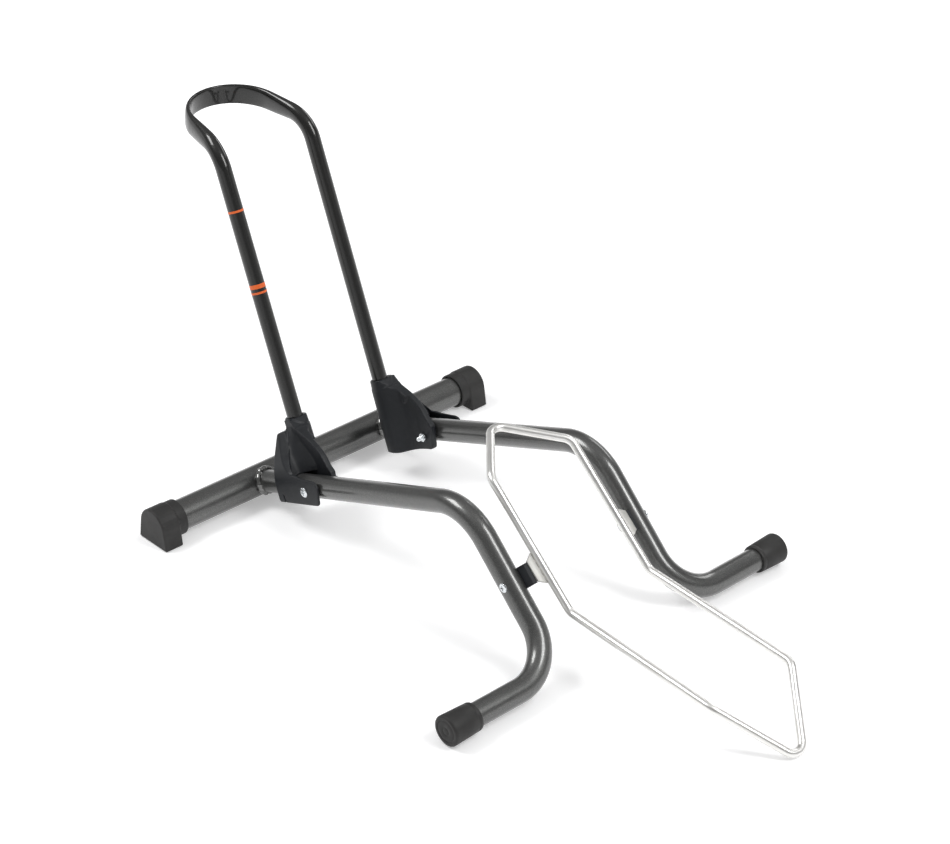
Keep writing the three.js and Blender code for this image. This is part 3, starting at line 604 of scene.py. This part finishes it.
loop_up = Vector((-math.sin(LOOP_LEAN), 0, math.cos(LOOP_LEAN)))
loop_ahead = Vector((loop_up.z, 0, -loop_up.x))
datum = fold_screw - loop_ahead * HINGE_AHEAD + loop_up * HINGE_BELOW_DATUM
arm_run = Vector((-math.cos(HEAD_RISE), 0, math.sin(HEAD_RISE)))
shoulder = datum + loop_up * LOOP_HEIGHT
apex = shoulder + arm_run * (LOOP_Y / math.tan(HEAD_TAPER))
tube_foot = datum - loop_up * TUBE_IN_SOCKET
corners = [side_by_side(tube_foot, -LOOP_Y), side_by_side(shoulder, -LOOP_Y), side_by_side(apex, 0),
           side_by_side(shoulder, LOOP_Y), side_by_side(tube_foot, LOOP_Y)]
course = divided(bent_path(corners, [0, HEAD_BEND, HEAD_RADIUS, HEAD_BEND, 0], 2.0), 12)
along = running_length(course)
strap_up = Vector((arm_run.z, 0, -arm_run.x))
half_turn = loop_up.angle(corners[2] - corners[1]) / 2
bend_from = (shoulder - tube_foot).length - HEAD_BEND * math.tan(half_turn)


def smooth(x):
    """Eases from 0 to 1."""
    x = min(1.0, max(0.0, x))
    return x * x * (3 - 2 * x)


rings = []
for (place, direction), length in zip(course, along):
    share = (min(length, along[-1] - length) - bend_from) / FLATTENING
    flat = smooth(share)
    tall = loop_ahead.lerp(strap_up, smooth(share * TURNS_FIRST))
    tall = (tall - direction * tall.dot(direction)).normalized()
    thin = direction.cross(tall).normalized()
    a = LOOP_R + (STRAP_HEIGHT / 2 - LOOP_R) * flat + GIRTH_SWELL * math.sin(math.pi * flat)
    b = LOOP_R + (STRAP_THICK / 2 - LOOP_R) * flat
    ring = []
    for q in round_steps(64):
        squarer = math.copysign(abs(math.sin(q)) ** (1 - STRAP_SQUARE * flat), math.sin(q))
        ring.append(place + tall * (a * math.cos(q)) + thin * (b * squarer))
    rings.append(ring)
dress(skin("painted_loop", rings, along), "loop", "loop_paint", loop_paint, "loop_tube")

# %% [markdown]
# Three plain orange bands of printed film mark the right upright. They could be a mask in
# the paint, but as thin sleeves over the tube they have crisp edges at any distance.

# %% Orange bands
FILM, FILM_ROOT = 0.07, 0.1
for number, (low, high) in enumerate(((228.7, 231.3), (235.3, 240.5), (329.0, 331.6)), 1):
    profile = [(low, -FILM_ROOT), (low, FILM), (high, FILM), (high, -FILM_ROOT)]
    stations = [(side_by_side(datum + loop_up * h, -LOOP_Y), loop_up) for h, _ in profile]
    band = round_rings(stations, lambda i: LOOP_R + profile[i][1], 64)
    dress(skin(f"orange_band_{number}", band, running_length(stations)),
          "loop", "loop_paint", orange)

# %% [markdown]
# ## The wire hoop
# The hoop is one closed ring of stainless wire, pointed at both ends and cranked in side
# view, so that it lies low in front and rises behind. Its rings all keep one fixed
# direction square to the path instead of being carried along it, so that a closed ring
# ends in the same turn in which it starts.

# %% Wire hoop
WIRE_REAR, WIRE_FRONT, TIP_BEND, CORNER_BEND = 112.3, 59.5, 15.0, 18.0
TAIL, NOSE_RUN, TIP_REACH = Vector((-61, 0, 12.4)), Vector((212.8, 0, -14.1)), 67.7

wire_run = Vector((math.cos(WIRE_ANGLE), 0, -math.sin(WIRE_ANGLE)))
wire_above = Vector((-wire_run.z, 0, wire_run.x))
seat = hoop_screw + wire_above * WIRE_OFFSET
rear_corner = seat - wire_run * WIRE_REAR
mid_bend = seat + wire_run * WIRE_FRONT
front_corner = mid_bend + NOSE_RUN


def tip_corner(base, tip):
    """The sharp corner whose bend brings the wire's tip to a given place."""
    reach = (tip - base).length
    far = reach
    for _ in range(20):
        far = reach + TIP_BEND * (1 / math.sin(math.atan(WIRE_Y / far)) - 1)
    return base + (tip - base) * (far / reach)


rear_tip = tip_corner(rear_corner, rear_corner + TAIL)
front_tip = tip_corner(front_corner, Vector((front_corner.x + TIP_REACH, 0, WIRE_R)))
near = [side_by_side(c, -WIRE_Y) for c in (rear_corner, mid_bend, front_corner)]
far = [side_by_side(c, WIRE_Y) for c in (front_corner, mid_bend, rear_corner)]
corners = [side_by_side(rear_tip, 0)] + near + [side_by_side(front_tip, 0)] + far
course = divided(bent_path(corners, ([TIP_BEND] + [CORNER_BEND] * 3) * 2, 4.0, True), 12, True)
facing = Vector((math.sin(WIRE_ANGLE / 2), 0, math.cos(WIRE_ANGLE / 2)))
rings = []
for place, direction in course:
    b = (facing - direction * facing.dot(direction)).normalized()
    n = b.cross(direction)
    rings.append([place + n * (WIRE_R * math.cos(q)) + b * (WIRE_R * math.sin(q))
                  for q in round_steps(32)])
dress(skin("steel_hoop", rings, running_length(course, True), True),
      "hoop", "stainless_wire", steel_wire, "hoop_wire")

# %% [markdown]
# ## Moulded pieces
# The brackets and boots come out of moulds, so every edge has a small radius and walls
# melt into each other. A copy of the CAD solid is rebuilt on a fine grid and smoothed,
# which rounds all edges at once, and is then thinned where it is flat. A bevel would be
# lighter, but it fails where many small facets meet.


# %% A copy with soft edges
GRID_MM, KEPT_SHARE, SAME_POINT = 0.6, 0.3, 0.00001


def copied(node, name):
    copy = bpy.data.objects.new(name, frame["nodes"][node].data.copy())
    bpy.context.scene.collection.objects.link(copy)
    return copy


def carved(obj, tool):
    """Cuts the tool's shape out of the object, once its modifiers are applied."""
    carve = obj.modifiers.new("carve", "BOOLEAN")
    carve.operation, carve.object, carve.solver = "DIFFERENCE", tool, "EXACT"


def moulded(node, name, passes, add=(), cut=()):
    """A soft-edged copy of a solid, with extra blocks grown onto it or carved out of it."""
    copy = copied(node, name)
    work = bmesh.new()
    for part in (copy, *add):
        work.from_mesh(part.data)
    bmesh.ops.remove_doubles(work, verts=work.verts, dist=SAME_POINT)
    work.to_mesh(copy.data)
    work.free()
    for tool in (None, *cut):
        if tool:
            carved(copy, tool)
        grid = copy.modifiers.new("grid", "REMESH")
        grid.mode, grid.voxel_size = "VOXEL", GRID_MM * MM
    soft = copy.modifiers.new("soft", "SMOOTH")
    soft.factor, soft.iterations = 0.5, passes
    copy.modifiers.new("thin_out", "DECIMATE").ratio = KEPT_SHARE
    settled(copy)
    for helper in (*add, *cut):
        bpy.data.objects.remove(helper)
    return copy


def settled(obj):
    """Applies an object's modifiers and shades it smooth."""
    bpy.context.view_layer.update()
    shown = obj.evaluated_get(bpy.context.evaluated_depsgraph_get())
    mesh = bpy.data.meshes.new_from_object(shown)
    obj.modifiers.clear()
    obj.data = mesh
    mesh.name = obj.name
    mesh.shade_smooth()


def block(name, outline, low, high):
    """A side-view outline of points, drawn out from y = low to y = high."""
    rings = [[side_by_side(p, y) for p in outline] for y in (low, high)]
    return skin(name, rings, [0, high - low])


# %% [markdown]
# The brackets are the hardest pieces. Seen from the front they are a valley between two
# cheeks, closed by a wall that slopes from the socket's mouth down to the leg. The wall
# and the inner cheek's peak are grown onto the copy, and its hump and nose are carved. The
# blocks for this are drawn in the bracket's own side view, and the grid melts the joints.


# %% Brackets
def in_bracket(x, z):
    """A point in the bracket's own side view: x ahead of the loop tube, z along it."""
    return datum + loop_ahead * x + loop_up * z


# levels up the loop tube. At each: the wall's front, how far out it reaches, and how far
# its inner side comes forward to meet the inner cheek
WALL = ((11.0, 22.5, 13.0, 44.0), (17.0, 21.5, 11.5, 41.0), (25.0, 19.5, 9.5, 37.5),
        (36.0, 15.0, 6.0, 29.0), (47.0, 11.5, -1.0, 20.0), (57.0, 10.0, -8.0, 14.0),
        (66.0, 9.0, -15.0, 10.0), (71.5, 8.5, -20.0, 8.5))
WALL_BACK, WALL_INNER, WALL_STEPS = -1.0, -16.0, 12
# the wall curves forwards from here inwards, and stays behind the round of the folded leg
CURVE_FROM, CURVE_RUN = 3.0, 17.5
FOLDED_LEG, LEG_ROOM, LEG_GAP = 45.2, 14.9, 0.4
PEAK = ((-2.0, 55.0), (-2.0, 73.0), (9.5, 73.0), (19.0, 60.5), (37.5, 48.3), (30.0, 40.0),
        (8.0, 40.0))
HUMP = ((10.5, 73.6), (19.3, 61.0), (38.0, 48.6), (57.0, 30.6), (84.0, 30.0), (84.0, 92.0),
        (10.5, 92.0))
NOSE = ((76.0, -40.0), (84.0, -40.0), (84.0, 22.0), (60.0, 22.0), (62.0, 12.0), (69.0, 9.6),
        (73.5, 6.0), (76.0, 0.0))
# the slope is the hump, drawn on outwards; over each 1 mm it comes back and down by this much
SLOPE_BACK, SLOPE_DOWN, SLOPE_TO = 1.41, 0.36, 3.0
INNER, OUTER, THICK = -14.5, 14.5, 7.5


def wall_front(y, front, most):
    """How far ahead of the loop tube the wall's face is, y outwards of the leg's middle."""
    behind_leg = FOLDED_LEG - math.sqrt(max(0.0, LEG_ROOM ** 2 - y * y)) - LEG_GAP
    curve = min(1.0, max(0.0, (CURVE_FROM - y) / CURVE_RUN)) ** 2
    return max(front, min(behind_leg, front + (most - front) * curve))


for side_name, s in SIDES:
    levels = []
    for z, front, reach, most in WALL:
        edge = [(WALL_BACK, reach), (WALL_BACK, WALL_INNER)]
        for k in range(WALL_STEPS + 1):
            y = WALL_INNER + (reach - WALL_INNER) * k / WALL_STEPS
            edge.append((wall_front(y, front, most), y))
        levels.append([side_by_side(in_bracket(x, z), s * (LEG_Y + y)) for x, y in edge])
    sheared = [[side_by_side(in_bracket(x - SLOPE_BACK * out_by, z - SLOPE_DOWN * out_by),
                             s * (LEG_Y + INNER + out_by)) for x, z in HUMP]
               for out_by in (0.0, SLOPE_TO - INNER)]
    peak, hump, nose = [[in_bracket(*p) for p in outline] for outline in (PEAK, HUMP, NOSE)]
    inner, outer = s * (LEG_Y + INNER), s * (LEG_Y + OUTER)
    grown = (skin("wall", levels, [level[0] for level in WALL]),
             block("peak", peak, inner - s * (THICK + 4), inner))
    carving = (block("hump", hump, inner - s * 40, inner + s * 6),
               skin("slope", sheared, [0, SLOPE_TO - INNER]),
               block("nose", nose, outer - s * 3, outer + s * 8))
    bracket = moulded(f"bracket_{side_name}", f"moulded_bracket_{side_name}", 4, grown, carving)
    dress(bracket, "loop", "bracket_plastic", bracket_plastic, f"bracket_{side_name}")

# %% [markdown]
# The square boots on the crossbar keep the solid's shape with soft edges. The caps on
# the floor bars are turned shapes, so they are spun from a profile that has a lip at the
# mouth, a faint ring beside it, a wider rounded end and a shallow ring in the end face.


# %% Boots and caps
def turned(name, profile, centre, s, facets=72):
    """A profile of (distance from the middle, radius), spun round a crosswise axis."""
    rings = [[Vector((centre.x + r * math.cos(q), s * y, centre.z + r * math.sin(q)))
              for q in round_steps(facets)] for y, r in profile]
    return skin(name, rings, [y for y, _ in profile])


CAP_LENGTH = 40.0
CAP_MOUTH = LEG_Y + FLOOR_BAR_REACH - CAP_LENGTH
# distance from the mouth, and radius: mouth, faint ring, flare, rounded end, ring in the face
CAP = ((0, 14.05), (0, 16.0), (0.3, 16.5), (1.1, 16.8), (4.2, 16.95), (4.7, 16.7), (5.2, 16.7),
       (5.7, 17.0), (20, 17.6), (36, 18.2), (38, 18.15), (39.2, 17.6), (39.85, 16.6),
       (39.95, 15.4), (39.95, 13.4), (39.5, 12.9), (39.5, 12.3), (39.9, 11.8), (39.9, 5.2),
       (39.6, 4.8), (39.6, 4.4), (39.9, 4.0), (39.9, 0.05))
for side_name, s in SIDES:
    dress(moulded(f"end_foot_{side_name}", f"rubber_boot_{side_name}", 6),
          "base", "rubber", rubber, f"end_foot_{side_name}")
    cap = turned(f"rubber_cap_{side_name}", [(CAP_MOUTH + d, r) for d, r in CAP], ankle, s)
    dress(cap, "base", "rubber", rubber, f"floor_cap_{side_name}")

# %% [markdown]
# A spacer block stands between each leg and the hoop's tab. Its outer face is hollowed to
# the leg's round, and its inner part rises as high as the fold of the tab. It is simple
# enough to be drawn as one section with four rings; the two end ones stand out as a rim.

# %% Spacers
def inner_end(node):
    """How near a piece comes to the middle of the rack, in millimetres."""
    return min(abs(corner.y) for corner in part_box(node)) / MM


SADDLE_R, RIM = LEG_R + 0.2, 0.8
spacer_from = inner_end("pivot_spacer_right")
middle_y, middle_n = spacer_from + 4, 3.0
saddle = [(LEG_Y - SADDLE_R * math.cos(q), SADDLE_R * math.sin(q) - PIVOT_RISE)
          for q in (math.radians(a) for a in range(-25, 50, 8))]
section = [(spacer_from, -9.0), *saddle, (84.2, 12.6), (82.6, 15.0), (spacer_from, 15.0)]
for side_name, s in SIDES:
    rings = []
    for run, rim in ((-12.5, RIM), (-11.7, 0.0), (11.7, 0.0), (12.5, RIM)):
        ring = []
        for y, n in section:
            y += math.copysign(rim, y - middle_y)
            n += math.copysign(rim, n - middle_n)
            ring.append(side_by_side(hoop_screw + drop * run + drop_normal * n, s * y))
        rings.append(ring)
    dress(skin(f"moulded_spacer_{side_name}", rings, [0, 1, 24, 25]),
          "base", "bracket_plastic", bracket_plastic, f"pivot_spacer_{side_name}")

# %% [markdown]
# ## Tabs and fasteners
# The folded tabs and the small pivot nuts keep the solid's shape. Only their edges are
# broken by a small bevel, as tumbling and plating do.


# %% A copy with broken edges
def eased(node, name, width):
    copy = copied(node, name)
    copy.modifiers.new("weld", "WELD").merge_threshold = SAME_POINT
    edge = copy.modifiers.new("edge", "BEVEL")
    edge.width, edge.segments = width * MM, 2
    edge.limit_method, edge.angle_limit = "ANGLE", SHARP_EDGE
    settled(copy)
    copy.data.set_sharp_from_angle(angle=SHARP_EDGE)
    return copy


for side_name, s in SIDES:
    dress(eased(f"hoop_tab_{side_name}", f"steel_tab_{side_name}", 0.4),
          "hoop", "stainless_wire", steel_plate, f"hoop_tab_{side_name}")
    dress(eased(f"pivot_nut_{side_name}", f"zinc_pivot_nut_{side_name}", 0.3),
          "base", "zinc_fasteners", zinc, f"pivot_nut_{side_name}")

# %% [markdown]
# Three short weld runs hold each tab to the wire. They are lumpy beads that fade out at
# both ends, made like the tubes but with a radius that changes at every station.

# %% Weld runs on the tabs
WELD_STEPS, WELD_R, WELD_END, WELD_LUMP, WELD_BELOW = 12, 1.5, 0.25, 0.25, 1.6
weld_y = WIRE_Y + WIRE_R * 0.9
swell = [WELD_END + WELD_R * math.sin(math.pi * k / WELD_STEPS) ** 0.6
         + WELD_LUMP * math.sin(k * 2.1) ** 2 for k in range(WELD_STEPS + 1)]
for side_name, s in SIDES:
    for number, (middle, length) in enumerate(((-8.0, 5.0), (3.0, 6.0), (12.0, 5.0)), 1):
        start = seat - wire_above * WELD_BELOW + wire_run * (middle - length / 2)
        path = [(side_by_side(start + wire_run * (length * k / WELD_STEPS), s * weld_y), wire_run)
                for k in range(WELD_STEPS + 1)]
        rings = round_rings(path, lambda i: swell[i], 12)
        dress(skin(f"tab_weld_{side_name}_{number}", rings, running_length(path)),
              "hoop", "stainless_wire", steel_plate)

# %% [markdown]
# Screws are turned shapes too: a pan head that sits a little into what it holds, a plain
# shank, and a threaded tip. The thread is rings and not a helix, which at this size
# can't be told apart. The cross in each head is carved with two thin blocks.


# %% Screws with a cross recess
DOME = ((0.6, 0.93), (0.82, 0.78), (0.95, 0.5), (1.0, 0.2), (1.0, 0.01))
THREAD_TURNS, THREAD_DEPTH, CROSS_TILT = 7, 0.35, 0.4
SQUARE = ((-1, -1), (1, -1), (1, 1), (-1, 1))


def pan_screw(name, centre, s, tip, seat_at, shank_r, head_r, head_h):
    """Tip and seat are distances from the middle of the rack; the head faces outwards."""
    profile = [(tip, 0.05), (tip, shank_r - 0.7), (tip + 0.5, shank_r - 0.2)]
    for turn in range(THREAD_TURNS):
        profile += [(tip + 0.9 + turn, shank_r), (tip + 1.4 + turn, shank_r - THREAD_DEPTH)]
    profile += [(seat_at - 1, shank_r), (seat_at - 1, head_r - 0.2)]
    profile += [(seat_at + head_h * 0.3, head_r)]
    profile += [(seat_at + head_h * f, head_r * g) for f, g in DOME]
    screw = turned(name, profile, centre, s, 48)
    for tilt in (CROSS_TILT, CROSS_TILT + math.pi / 2):
        long = Vector((math.cos(tilt), 0, math.sin(tilt))) * (head_r * 0.56)
        short = Vector((-math.sin(tilt), 0, math.cos(tilt))) * (head_r * 0.13)
        outline = [centre + long * a + short * b for a, b in SQUARE]
        slot = block("slot", outline, s * (seat_at + head_h * 0.35), s * (seat_at + head_h + 2))
        carved(screw, slot)
        settled(screw)
        bpy.data.objects.remove(slot)
    screw.data.set_sharp_from_angle(angle=math.radians(35))
    return screw


def hex_nut(name, centre, s, low, high, flats):
    """A nut whose corners are turned down a little at both faces."""
    rings = []
    levels = [low, low + 0.45, high - 0.45, high]
    for y, limit in zip(levels, (flats / 2, flats / math.sqrt(3), flats / math.sqrt(3), flats / 2)):
        ring = []
        for q in round_steps(72):
            r = min(flats / 2 / math.cos((q % (math.pi / 3)) - math.pi / 6), limit)
            ring.append(Vector((centre.x + r * math.cos(q), s * y, centre.z + r * math.sin(q))))
        rings.append(ring)
    return skin(name, rings, levels)


BRACKET_SEAT, PIVOT_SEAT = LEG_Y + 17.7, LEG_Y + 13.1
for side_name, s in SIDES:
    name = f"zinc_bracket_screw_{side_name}"
    dress(pan_screw(name, fold_screw, s, 64.5, BRACKET_SEAT, shank_r=3.0, head_r=6.2, head_h=1.9),
          "base", "zinc_fasteners", zinc, f"bracket_screw_{side_name}")
    nut = hex_nut(f"zinc_bracket_nut_{side_name}", fold_screw, s, low=71.0, high=75.0, flats=10.0)
    dress(nut, "base", "zinc_fasteners", zinc, f"bracket_nut_{side_name}")
    name, tip = f"zinc_pivot_screw_{side_name}", inner_end(f"pivot_screw_{side_name}")
    dress(pan_screw(name, hoop_screw, s, tip, PIVOT_SEAT, shank_r=2.5, head_r=5.6, head_h=1.7),
          "base", "zinc_fasteners", zinc, f"pivot_screw_{side_name}")
